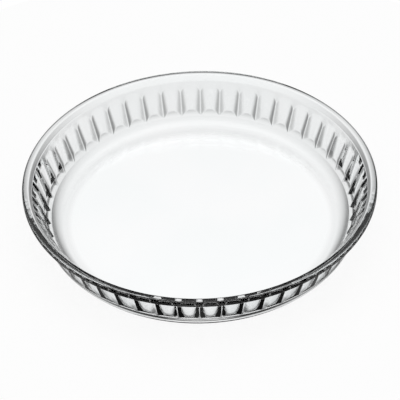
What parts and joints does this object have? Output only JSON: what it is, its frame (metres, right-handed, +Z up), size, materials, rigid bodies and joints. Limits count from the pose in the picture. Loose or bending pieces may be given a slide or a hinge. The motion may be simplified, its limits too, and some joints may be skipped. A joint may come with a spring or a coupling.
{
  "type": "fluted round baking dish",
  "caption": "Round clear pressed-glass baking dish with a flat floor, a leaning wall fluted on its inside and a narrow turned-out rim.",
  "frame": {"origin": "centre of the flat underside, on the surface that the dish stands on", "axes": "+Z up, along the axis of the round dish; +X passes through the middle of one flute"},
  "size_m": [0.27, 0.27, 0.042],
  "materials": {
    "dish": "clear, smooth fire-polished pressed glass"
  },
  "bodies": {
    "root": {"dish": "dish"}
  },
  "joints": []
}
